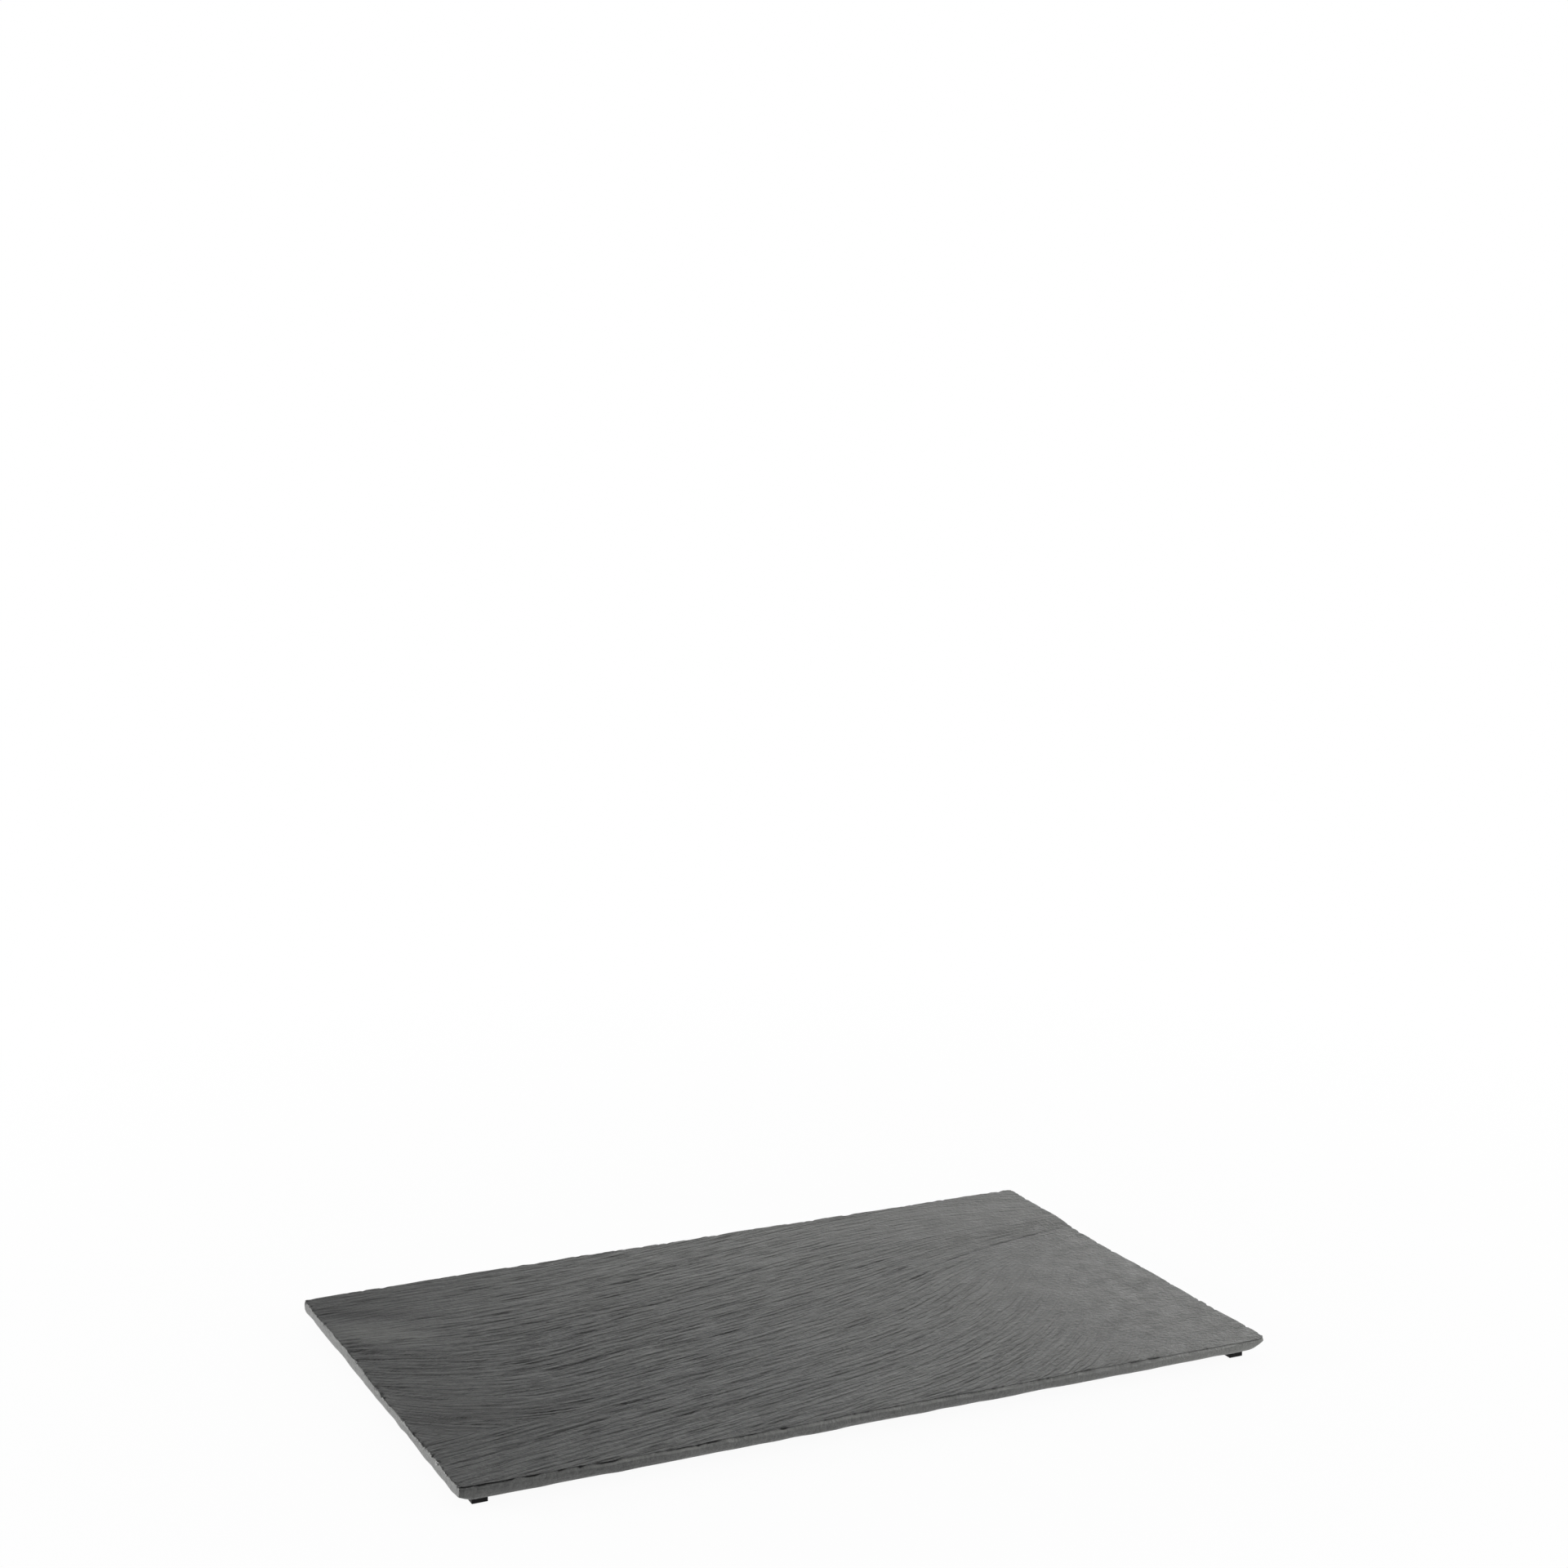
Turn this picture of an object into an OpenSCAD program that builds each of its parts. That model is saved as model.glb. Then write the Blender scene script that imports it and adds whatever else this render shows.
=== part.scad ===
// Slate serving board on four rubber feet.
// Origin: on the table, under the centre of the board. +X runs to the right
// along the front edge, +Y to the rear, +Z up. Lengths are in millimetres.

/* [Board] */
// Length along the front edge
board_length = 530; // [300:5:600]
// Depth from the front edge to the rear edge
board_depth = 325; // [200:5:400]
// Thickness of the slate, before the relief of its riven face
board_thickness = 8.2; // [7:0.1:14]
// Plan radius of the four corners at the arris
corner_radius = 7; // [5:0.5:14]
// Plan radius of the four corners at the underside
low_corner_radius = 11; // [7:0.5:16]

/* [Dressed edge] */
// Height of the rounded turn under the edge, up from the underside
turn_height = 6.2; // [2:0.1:6.4]
// How far the underside stops short of the outer edge
turn_inset = 4.1; // [1:0.1:5.5]
// How far the top arris lies in from the outer edge
arris_inset = 0.5; // [0.2:0.1:2]
// Height of the chipped strip below the arris
arris_drop = 1; // [0.3:0.1:2]
// How far the chips wander in and out
chip_depth = 0.5; // [0:0.1:0.8]
// Length of one chip
chip_length = 12; // [8:1:30]

/* [Riven face] */
// Height of the slow swells
swell_height = 0.95; // [0:0.05:1.3]
// Height of the two broken cleavage ledges
ledge_height = 1.2; // [0:0.1:1.5]
// Width over which a ledge falls
ledge_fall = 7; // [4:0.5:15]
// Height of the ripples that follow the grain
ripple_height = 0.3; // [0:0.02:0.4]
// Spacing of the ripples across the grain
ripple_pitch = 9; // [8:0.5:20]
// Length of a ripple along the grain
ripple_run = 80; // [40:5:200]
// How far the grain sags beside the left edge
grain_sag = 66; // [0:2:80]
// Rise of the grain to the right along the front edge, per unit of length
grain_slope = 0.21; // [0:0.01:0.3]

/* [Feet] */
// Side of a square foot
foot_side = 9.5; // [6:0.5:16]
// Height of a foot
foot_height = 6; // [4:0.5:12]
// Distance of a foot in from the two outer edges
foot_inset = 11; // [9:0.5:40]
// Radius of a foot's upright edges
foot_edge_radius = 0.3; // [0.2:0.1:2]
// Chamfer round the ground face of a foot
foot_chamfer = 0.3; // [0.1:0.1:1]
// Thickness of the adhesive pad between foot and slate
pad_thickness = 0.6; // [0.2:0.1:1.5]
// How far the adhesive pad stops short of the foot's sides
pad_margin = 0.3; // [0:0.1:1]

/* [Fineness] */
// Cells of the riven face along the board
cells_along = 46; // [20:1:48]
// Cells of the riven face across the board
cells_across = 84; // [40:1:86]
// Steps along a long edge
edge_steps_long = 88; // [40:2:90]
// Steps along a short edge
edge_steps_short = 76; // [30:2:78]

/* [Hidden] */
$fn = 32;

slate_colour = "#6b6c6a";
rubber_colour = "#1c1c1d";
adhesive_colour = "#39393b";

underside_z = foot_height + pad_thickness;
foot_x = board_length / 2 - foot_inset - foot_side / 2;
foot_y = board_depth / 2 - foot_inset - foot_side / 2;

// The face mesh stops short of the edge; the dressed edge takes over there
edge_margin = 5;
// Smallest plan radius of any loop round the edge
least_radius = 0.5;
// Least height of the upright band between the chipped strip and the turn
least_band = 0.3;
// Overrun of a cutting block
cut_overrun = 1;

// Angles on the quarter ellipse of the turn, from the upright band down
turn_angles = [0, 33, 63, 90];

// Height of the face at its corners, as shares of the swell height
front_left_share = 0;
front_right_share = -1;
rear_left_share = 0.55;
rear_right_share = 1;
// Swells: place along and across, reach along and across, height
swell_shares = [
    [0.62, 1.00, 0.34, 0.42, 0.55],
    [0.26, 0.96, 0.16, 0.22, 0.30],
    [0.00, 0.61, 0.15, 0.14, 0.70],
    [0.10, 0.78, 0.10, 0.09, 0.30],
    [0.09, 0.37, 0.13, 0.16, -0.85],
    [1.00, 0.60, 0.18, 0.15, -0.90],
    [0.92, 0.40, 0.16, 0.12, 0.15],
    [0.55, 0.02, 0.22, 0.26, 0.65],
    [0.03, 0.02, 0.10, 0.10, 0.45],
    [0.33, 0.06, 0.14, 0.16, -0.25],
    [0.48, 0.52, 0.20, 0.18, -0.30]
];
// Ledges: strong end along and across, lean, reach along and across, height
ledge_shares = [
    [1.00, 0.765, 0.09, 0.34, 0.16, 1.0],
    [0.00, 0.560, -0.16, 0.12, 0.12, 0.9]
];
// Front grain: where it starts to curl up to the right, and how strongly it does
curl_shares = [0.3, 1.42];
// Rear grain: where it rises and over what length, how far, where it bends down again and how strongly
rear_shares = [0.25, 0.6, 0.085, 0.8, 1.2];
// Where the front grain turns into the rear grain, across the board: start and length
turn_shares = [0.5, 0.4];
// The sag beside the left edge: its reach along, the place where it has faded out and the length of that fade
sag_shares = [0.23, 0.9, 0.45];
// The fold under the sag, where the dipping grain meets the rising grain: place, lean and width
fold_shares = [0.222, 0.06, 0.03];
// The calm front right of the face: place and reach, and how far it quietens
calm_shares = [0.95, 0.22, 0.27, 0.36, 0.85];
// Sets of ripples: pitch, run and height as shares of the ripple's own, and how far their hollows are creased
ripple_shares = [
    [2.3, 1.4, 0.9, 0],
    [1.0, 1.0, 0.7, 0],
    [1.3, 0.8, 1.5, 1],
    [0.7, 0.6, 0.7, 1]
];
// How far a chip that cuts in also lowers the arris
chip_fall_share = 0.6;

noise_size = 64;
noise_seed = 31;
noise_rows = [for (row = [0:noise_size - 1]) rands(-1, 1, noise_size, noise_seed + row)];

function limit(value, low, high) = min(max(value, low), high);
function mix(a, b, t) = a + (b - a) * t;
function ease(t) = t * t * (3 - 2 * t);
function bump(d) = exp(-d * d);
function total(list) = list * [for (value = list) 1];
function wrap(i) = i - noise_size * floor(i / noise_size);
function knot(i, j) = noise_rows[wrap(j)][wrap(i)];

// Smooth noise between -1 and 1, with one knot per unit
function noise(u, v) =
    let(
        i = floor(u),
        j = floor(v),
        s = ease(u - i),
        t = ease(v - j)
    )
    mix(mix(knot(i, j), knot(i + 1, j), s), mix(knot(i, j + 1), knot(i + 1, j + 1), s), t);

// Shares of the board's length and depth at a place measured from its front left corner
function share_at(p) = [p.x / board_length, p.y / board_depth];

// A round bump of height 1 about a place, given as shares
function bump_at(s, place) =
    bump(norm([(s.x - place[0]) / place[2], (s.y - place[1]) / place[3]]));

function swell(s) =
    mix(
        mix(front_left_share, front_right_share, s.x),
        mix(rear_left_share, rear_right_share, s.x),
        s.y
    )
    + total([for (place = swell_shares) place[4] * bump_at(s, place)]);

// A ledge: high behind its line, low in front of it, dying away on every side
function ledge(p, place) =
    let(
        s = share_at(p),
        behind = (s.y - place[1] - place[2] * (s.x - place[0])) * board_depth,
        fall = limit(behind / ledge_fall, -1, 1),
        step = fall * (3 - fall * fall) / 4
    )
    place[5] * step * bump((s.x - place[0]) / place[3]) * bump(behind / board_depth / place[4]);

// How far a grain line has climbed at a place
function grain_rise(p) =
    let(
        s = share_at(p),
        curl = max(s.x - curl_shares[0], 0),
        front = grain_slope * (s.x - curl_shares[0]) + curl_shares[1] * pow(curl, 4),
        bend = max(s.x - rear_shares[3], 0),
        rear = rear_shares[2] * ease(limit((s.x - rear_shares[0]) / rear_shares[1], 0, 1))
            - rear_shares[4] * bend * bend,
        turn = ease(limit((s.y - turn_shares[0]) / turn_shares[1], 0, 1))
    )
    board_length * mix(front, rear, turn);

// How much further it has climbed where it sags beside the left edge
function grain_dip(p) =
    let(
        s = share_at(p),
        along = max(1 - s.x / sag_shares[0], 0),
        across = ease(limit((sag_shares[1] - s.y) / sag_shares[2], 0, 1))
    )
    grain_sag * along * along * across;

// 0 in front of the fold, 1 behind it
function behind_fold(s) =
    ease(limit((s.y - fold_shares[0] - fold_shares[1] * s.x) / fold_shares[2] + 0.5, 0, 1));

// How far the grain line through a place has climbed in all
function grain_line(p) = grain_rise(p) + grain_dip(p) * behind_fold(share_at(p));

// How closely the grain is drawn together at a place
function grain_tightness(p) = 1 + (grain_rise(p) - grain_rise(p + [0, ripple_pitch])) / ripple_pitch;

// One set of ripples, at a place along the board and across the grain; a root makes its hollows sharp
function ripple_set(along, across, set) =
    let(value = noise(along / ripple_run / set[1], across / ripple_pitch / set[0]))
    set[2] * mix(value, 2 * sqrt(abs(value)) - 1, set[3]);

function ripples(along, across) =
    total([for (set = ripple_shares) ripple_set(along, across, set)]);

function ripple(p) =
    let(
        across = p.y - grain_rise(p),
        sagging = across - grain_dip(p)
    )
    mix(ripples(p.x, across), ripples(p.x, sagging), behind_fold(share_at(p))) / grain_tightness(p);

function quiet(s) = 1 - calm_shares[4] * bump_at(s, calm_shares);

// Height of the riven face above the underside
function face_height(p) =
    let(s = share_at(p))
    board_thickness
    + swell_height * swell(s)
    + ledge_height * total([for (place = ledge_shares) ledge(p, place)])
    + ripple_height * quiet(s) * ripple(p);

// A point of the sharp outer rectangle drawn in by an inset, round corners of a given radius
function rim_point(p, inset, corner = corner_radius) =
    let(
        radius = max(corner, inset + least_radius),
        centre = [
            limit(p.x, radius, board_length - radius),
            limit(p.y, radius, board_depth - radius)
        ],
        reach = p - centre
    )
    centre + reach * (radius - inset) / norm(reach);

// The sharp rectangle by the distance walked round it from the front left corner
function walk_point(d) =
    d < board_length ? [d, 0]
    : d < board_length + board_depth ? [board_length, d - board_length]
    : d < 2 * board_length + board_depth ? [2 * board_length + board_depth - d, board_depth]
    : [0, 2 * (board_length + board_depth) - d];

// Stops along one edge: close together round the corner, then even
function edge_stops(length, steps) =
    let(knee = corner_radius * (1 - tan(22.5)))
    concat(
        [0, knee],
        [for (k = [0:steps]) corner_radius + k * (length - 2 * corner_radius) / steps],
        [length - knee]
    );

rim_stops = concat(
    edge_stops(board_length, edge_steps_long),
    [for (d = edge_stops(board_depth, edge_steps_short)) board_length + d],
    [for (d = edge_stops(board_length, edge_steps_long)) board_length + board_depth + d],
    [for (d = edge_stops(board_depth, edge_steps_short)) 2 * board_length + board_depth + d]
);
rim_count = len(rim_stops);

// How far the chips cut in at a stop
function chip(p) = chip_depth * (noise(p.x / chip_length, p.y / chip_length)
    + 0.5 * noise(2 * p.x / chip_length, 2 * p.y / chip_length));

// The loops round the edge at one stop, from the arris down to the underside
function edge_profile(stop) =
    let(
        p = walk_point(stop),
        cut = chip(p),
        arris = rim_point(p, max(arris_inset + cut, 0)),
        arris_z = face_height(arris) - chip_fall_share * max(cut, 0),
        strip_z = max(arris_z - arris_drop, arris_z / 2),
        turn_z = min(turn_height, strip_z - least_band)
    )
    concat(
        [[arris.x, arris.y, arris_z]],
        [with_height(rim_point(p, max(cut, 0) / 3), strip_z)],
        [
            for (angle = turn_angles)
                let(corner = mix(corner_radius, low_corner_radius, sin(angle)))
                with_height(rim_point(p, turn_inset * (1 - cos(angle)), corner), turn_z * (1 - sin(angle)))
        ]
    );

function with_height(p, z) = [p.x, p.y, z];

// Grid of the riven face; its outermost points lie on a loop inside the arris
function grid_line(i, cells, length) = edge_margin + i * (length - 2 * edge_margin) / cells;

function grid_place(i, j) =
    let(
        sharp_x = i == 0 ? 0 : i == cells_along ? board_length : grid_line(i, cells_along, board_length),
        sharp_y = j == 0 ? 0 : j == cells_across ? board_depth : grid_line(j, cells_across, board_depth),
        on_edge = i == 0 || i == cells_along || j == 0 || j == cells_across
    )
    on_edge ? rim_point([sharp_x, sharp_y], edge_margin) : [sharp_x, sharp_y];

function grid_index(i, j) = j * (cells_along + 1) + i;

// A cell is cut along the diagonal that lies nearer to the grain
function cell_faces(i, j) =
    let(
        a = grid_index(i, j),
        b = grid_index(i + 1, j),
        c = grid_index(i + 1, j + 1),
        d = grid_index(i, j + 1),
        climbs = grain_line(grid_place(i + 1, j)) >= grain_line(grid_place(i, j))
    )
    climbs ? [[a, c, b], [a, d, c]] : [[a, d, b], [b, d, c]];

// The grid's outermost points in walking order, as [distance walked, index]
function grid_stop(i, cells, length) = i == 0 ? 0 : grid_line(i, cells, length);

grid_rim = concat(
    [for (i = [0:cells_along - 1]) [grid_stop(i, cells_along, board_length), grid_index(i, 0)]],
    [for (j = [0:cells_across - 1])
        [board_length + grid_stop(j, cells_across, board_depth), grid_index(cells_along, j)]],
    [for (i = [0:cells_along - 1])
        [board_length + board_depth + grid_stop(i, cells_along, board_length),
         grid_index(cells_along - i, cells_across)]],
    [for (j = [0:cells_across - 1])
        [2 * board_length + board_depth + grid_stop(j, cells_across, board_depth),
         grid_index(0, cells_across - j)]]
);
grid_count = (cells_along + 1) * (cells_across + 1);
edge_loops = 2 + len(turn_angles);

function rim_index(k, loop) = grid_count + loop * rim_count + k % rim_count;

// One step of the seam that joins the grid to the arris, at place k on the grid's rim and m on the arris
function seam_takes_rim(k, m) =
    m < rim_count && (k >= len(grid_rim) || next_stop(m) <= next_grid(k));
function next_stop(m) = m + 1 < rim_count ? rim_stops[m + 1] : 2 * (board_length + board_depth);
function next_grid(k) = k + 1 < len(grid_rim) ? grid_rim[k + 1][0] : 2 * (board_length + board_depth);

function seam_face(k, m) =
    let(inner = grid_rim[k % len(grid_rim)][1])
    seam_takes_rim(k, m)
        ? [inner, rim_index(m + 1, 0), rim_index(m, 0)]
        : [inner, grid_rim[(k + 1) % len(grid_rim)][1], rim_index(m, 0)];

seam_faces = [
    for (
        at = [0, 0];
        at[0] + at[1] < len(grid_rim) + rim_count;
        at = seam_takes_rim(at[0], at[1]) ? [at[0], at[1] + 1] : [at[0] + 1, at[1]]
    )
        seam_face(at[0], at[1])
];

module slate_board() {
    profiles = [for (stop = rim_stops) edge_profile(stop)];
    grid_points = [
        for (j = [0:cells_across], i = [0:cells_along])
            let(p = grid_place(i, j))
            with_height(p, face_height(p))
    ];
    rim_points = [for (loop = [0:edge_loops - 1], k = [0:rim_count - 1]) profiles[k][loop]];
    face_faces = [for (j = [0:cells_across - 1], i = [0:cells_along - 1]) each cell_faces(i, j)];
    edge_faces = [
        for (loop = [0:edge_loops - 2], k = [0:rim_count - 1])
            each [
                [rim_index(k, loop), rim_index(k + 1, loop), rim_index(k + 1, loop + 1)],
                [rim_index(k, loop), rim_index(k + 1, loop + 1), rim_index(k, loop + 1)]
            ]
    ];
    underside = [for (k = [0:rim_count - 1]) rim_index(k, edge_loops - 1)];
    color(slate_colour)
        translate([-board_length / 2, -board_depth / 2, underside_z])
            polyhedron(
                points = concat(grid_points, rim_points),
                faces = concat(face_faces, seam_faces, edge_faces, [underside]),
                convexity = 4
            );
}

// A square with rounded corners, centred
module rounded_square(side, radius) {
    inner = side - 2 * radius;
    square([side, inner], center = true);
    square([inner, side], center = true);
    for (x = [-1, 1], y = [-1, 1])
        translate([x * inner / 2, y * inner / 2])
            circle(r = radius);
}

// A moulded rubber foot; along is -1 on the left and 1 on the right, across -1 at the front and 1 at the rear
module foot(along, across) {
    bevel = foot_chamfer * sqrt(2);
    color(rubber_colour)
        translate([along * foot_x, across * foot_y, 0])
            difference() {
                linear_extrude(foot_height)
                    rounded_square(foot_side, foot_edge_radius);
                for (turn = [0:90:270])
                    rotate([0, 0, turn])
                        translate([foot_side / 2, 0, 0])
                            rotate([0, 45, 0])
                                cube([bevel, foot_side + 2 * cut_overrun, bevel], center = true);
            }
}

// The double-coated adhesive pad that holds a foot to the underside
module adhesive(along, across) {
    color(adhesive_colour)
        translate([along * foot_x, across * foot_y, foot_height])
            linear_extrude(pad_thickness)
                rounded_square(foot_side - 2 * pad_margin, foot_edge_radius);
}

slate_board();
foot(-1, -1);  // foot_front_left
foot(1, -1);  // foot_front_right
foot(-1, 1);  // foot_rear_left
foot(1, 1);  // foot_rear_right
adhesive(-1, -1);  // adhesive_front_left
adhesive(1, -1);  // adhesive_front_right
adhesive(-1, 1);  // adhesive_rear_left
adhesive(1, 1);  // adhesive_rear_right
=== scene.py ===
import math

import bpy
import numpy as np
from mathutils import Matrix, Vector
from mathutils.bvhtree import BVHTree


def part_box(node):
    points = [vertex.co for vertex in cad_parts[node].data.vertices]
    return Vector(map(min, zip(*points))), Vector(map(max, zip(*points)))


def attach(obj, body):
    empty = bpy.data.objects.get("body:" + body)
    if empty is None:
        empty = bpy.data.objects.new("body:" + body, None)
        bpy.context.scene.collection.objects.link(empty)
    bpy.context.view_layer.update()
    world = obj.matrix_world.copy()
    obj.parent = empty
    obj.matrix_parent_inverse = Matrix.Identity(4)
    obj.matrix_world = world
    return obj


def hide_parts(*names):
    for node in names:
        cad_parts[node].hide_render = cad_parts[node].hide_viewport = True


# A riven slate serving board on four rubber feet, standing on a white sweep.
# Metres, +X to the right along the front edge, +Y to the rear, +Z up, origin on the table.
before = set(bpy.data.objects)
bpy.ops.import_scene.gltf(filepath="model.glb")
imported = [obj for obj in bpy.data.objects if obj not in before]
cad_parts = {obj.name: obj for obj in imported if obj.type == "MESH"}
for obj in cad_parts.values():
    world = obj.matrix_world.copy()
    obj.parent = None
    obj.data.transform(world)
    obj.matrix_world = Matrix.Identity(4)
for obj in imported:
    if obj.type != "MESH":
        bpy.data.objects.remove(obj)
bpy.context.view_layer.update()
scene = bpy.context.scene
mm = 0.001
low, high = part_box("slate_board")
size = (high - low) / mm
wayRound = 2 * (size.x + size.y)  # mm, along the rim
print("frame loaded:", len(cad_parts), "nodes")


def toLinear(hexColour):
    parts = [int(hexColour[i:i + 2], 16) / 255 for i in (1, 3, 5)]
    return [p / 12.92 if p <= 0.04045 else ((p + 0.055) / 1.055) ** 2.4 for p in parts] + [1]


def newMaterial(name):
    material = bpy.data.materials.new(name)
    material.use_nodes = True
    material.node_tree.nodes.clear()
    return material, material.node_tree


def addNode(tree, kind, inputs=None, **settings):  # a socket given as an input is linked, a value is set
    node = tree.nodes.new("ShaderNode" + kind)
    for name, value in settings.items():
        setattr(node, name, value)
    for name, value in (inputs or {}).items():
        if isinstance(value, bpy.types.NodeSocket):
            tree.links.new(value, node.inputs[name])
        else:
            node.inputs[name].default_value = value
    return node


# Camera: where the photographer stood, a little above the table and to the left of the board
cameraSet = {
    "eye": (-681.6, -1490.8, 631.0),  # mm
    "heading": 24.83,  # degrees from +Y towards +X
    "pitch": -9.335,  # degrees, negative below the horizon
    "roll": -0.31,  # degrees
    "lens": 61.58,  # mm
    "sensor": 36,  # mm
    "nearest": 0.05,  # metres
}


def addCamera():
    data = bpy.data.cameras.new("camera")
    data.lens = cameraSet["lens"]
    data.sensor_width = cameraSet["sensor"]
    data.clip_start = cameraSet["nearest"]
    camera = bpy.data.objects.new("camera", data)
    scene.collection.objects.link(camera)
    camera.matrix_world = (
        Matrix.Translation(Vector(cameraSet["eye"]) * mm)
        @ Matrix.Rotation(math.radians(-cameraSet["heading"]), 4, "Z")
        @ Matrix.Rotation(math.radians(90 + cameraSet["pitch"]), 4, "X")
        @ Matrix.Rotation(math.radians(cameraSet["roll"]), 4, "Z")
    )
    scene.camera = camera


# The slab. Lengths, depths and reaches are in mm.
slab = {
    "cellsAlong": 252,
    "cellsAcross": 320,
    "smoothBelow": 50,  # degrees between two faces
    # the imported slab's heights are averaged this far along the grain, and at these distances across it
    "formReach": 20,
    "formShifts": (-7.5, -5, -2.5, 0, 2.5, 5, 7.5),
    "formMargin": 3,  # nearer to the rim they aren't read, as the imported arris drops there
    # corner radii front left, front right, rear right, rear left: at the arris, and at the underside
    "cornerRadii": (2, 6, 4, 1.5),
    "lowCornerRadii": (12, 15, 9, 4),
    # at shares of the way round from the front left: how far the last cleavage layer stops short of the face,
    # how far the face stands in, how far it turns under, and the height at which it starts to
    "ledge": ((0, 1), (0.01, 1.5), (0.24, 1.6), (0.29, 0.7), (0.32, 0.4), (0.79, 0.6), (0.82, 0.5), (1, 0.5)),
    "faceInset": (
        (0, 0.7), (0.012, 0), (0.32, 0), (0.34, 0.8), (0.37, 0.6), (0.39, 0),
        (0.79, 0), (0.81, 0.35), (0.817, 0.7), (1, 0.7),
    ),
    "turnInset": ((0, 1.5), (0.012, 2), (0.07, 2), (0.1, 3), (0.79, 3), (0.81, 1.5), (1, 1.5)),
    "bandFoot": ((0, 3), (0.012, 5), (0.79, 5), (0.81, 3), (1, 3)),
    # at the same shares: how pale the shoulder is, worn and with a painted highlight where it catches the
    # light, and how much paler the whole edge is painted where it turns to the lamps, and below zero, how
    # much darker as painted shade
    "shoulderWearAndHighlight": ((0, 0), (0.03, 0.2), (0.06, 1), (0.2, 1), (0.26, 0.4), (1, 0.4)),
    "edgeLightAndShade": ((0, -0.3), (0.05, -0.3), (0.08, 0), (0.22, 0), (0.3, 1.2), (0.33, 1.2), (0.36, 0.2), (1, 0)),
    "wearAndHighlightSpans": (9, 0.7, 0.5),  # the length of a pale span of the shoulder, how pale it is on average, and how much that varies
    "insetReach": 8,  # over which the face gives way to an inset
    "wander": (12, 0.3),  # length over which the arris wanders in and out, and how far
    "wholeCorner": 8,  # reach from the front left corner, where the arris is whole
    # notches broken out of the arris: length, depth, and how high their noise has to be, so how rare they are
    "notch": (3.1, 1.5, 0.34),
    # small notches: how many times closer, their share of that depth, and how high their noise has to be
    "smallNotch": (2.3, 0.7, 0.45),
    "notchShares": (0.4, 0.55, 1),  # of the depth: at the front, at the right and the rear, and at the left
    "notchReach": 1.5,  # how far in from the rim a notch lowers the face
    "notchDrop": 0.7,  # by how much of its depth
    "notchShadeDepth": 0.4,  # the depth at which its painted shade is as dark as it gets
    "groove": (1.3, 0.35),  # how far the broken groove under that layer cuts in, and its root's drop
    "grooveFront": (0.8, 0.7, 1.5),  # how open it is at the front, how much of that it loses, and how fast
    "grooveRest": 0.6,  # how open it is elsewhere
    "grooveMean": 0.5,  # how open it is on average, as a share of those
    "grooveBreaks": ((9, 2.2), (4, 1)),  # lengths over which it comes and goes, and how strongly
    "grooveStart": 25,  # reach from the front left corner, where it is whole
    "lip": (0.3, 0.75),  # the drop from the arris to the ledge, and what an open groove adds to it
    "ledgeOut": (0.1, 0.8),  # how far the ledge stands out under the arris, and how much of a notch it fills
    "ledgeBare": 0.8,  # depth of a notch that lays the ledge bare
    "ledgeShade": 0.5,  # how dark the painted shade on a bare ledge is, against the groove above it
    # the worn shoulder below: share of the ledge, and drop
    "shoulder": ((0.66, 1.05), (0.36, 1.35), (0.12, 1.75), (0.02, 2.3)),
    "shoulderNotch": 0.2,  # how much of a notch goes on into it
    "rough": 0.12,  # how rough the shoulder and the band below it are
    "roughLengths": (5, 6),  # the lengths over which that changes, on the shoulder and on the band
    "roughRows": 2.5,  # the rows of the band over which it changes
    "leastFace": 0.05,  # height left between the shoulder and the band
    "turnAngles": (0, 14, 28, 42, 56, 70, 80, 90),  # degrees, one for each row of the band that turns under
    "bandWave": (12, 0.6),  # length over which the turned-under edge wanders, and how far
    "edgeLively": 0.6,  # the liveliness of the pattern on the edge
    "edgeSqueeze": 1.5,  # how much closer that pattern lies up the edge than on the face
}

# Seeds of the noises
seeds = {
    "ripples": 7,  # and the next ones, one for each
    "crevices": 27,
    "notches": 30,
    "smallNotches": 31,
    "wander": 32,
    "shoulder": 40,
    "wearAndHighlightSpans": 41,
    "groove": 50,  # and the next one
    "band": 60,
    "bandWave": 61,
    "namedCrevices": 70,
}

# The grain of the riven face, as it runs over the board. Heights and places along the board are shares of its
# length, and places in the depth are shares of that.
grain = {
    "slope": 0.21,  # of the front family of lines
    "curl": (0.3, 1.42),  # from where that climbs more steeply, and how strongly
    # the rear family: from where it rises, over what length, how far, from where it bends down, how strongly
    "rear": (0.25, 0.6, 0.085, 0.8, 1.2),
    "turn": (0.5, 0.4),  # from where in the depth the one turns into the other, and over how much
    "sag": 66,  # mm that the lines sag beside the left edge
    "sagReach": (0.23, 0.9, 0.45),  # how far in from the left, to where in the depth, and its fade there
    "fold": (0.222, 0.06),  # where in the depth it meets the left edge, and how far it climbs from there
    "step": 2,  # mm between the points of a traced grain line
    "longest": 64,  # mm traced each way
    "crest": 1.4,  # spreads of a drawn-out noise towards which its peaks are pressed down
}

# Ripples: spacing across the grain, reach along it, height, in mm
ripples = (
    (7.0, 40, 0.008),
    (4.6, 40, 0.02),
    (3.2, 36, 0.075),
    (2.3, 26, 0.15),
)
crevices = {
    "pitch": 2.2,
    "run": 56,
    "depth": 0.4,
    "start": 0.85,  # spreads of the noise at which a hollow opens into a crevice
    "most": 1.5,  # spreads beyond that at which it is deepest
    "dark": 0.45,  # mm of depth at which its painted shade is as dark as it gets
    "lean": 2.2,  # how far the crests lean to the front, per unit of height
    "leanReach": 5,  # mm from the rim, over which they come upright
    "waver": (4, 0.7),  # mm over which a named crevice wavers, and how far
    "join": 1.6,  # how far one traced point of it reaches along it, in half widths
    "blunt": 4,  # how blunt its ends are
}

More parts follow.
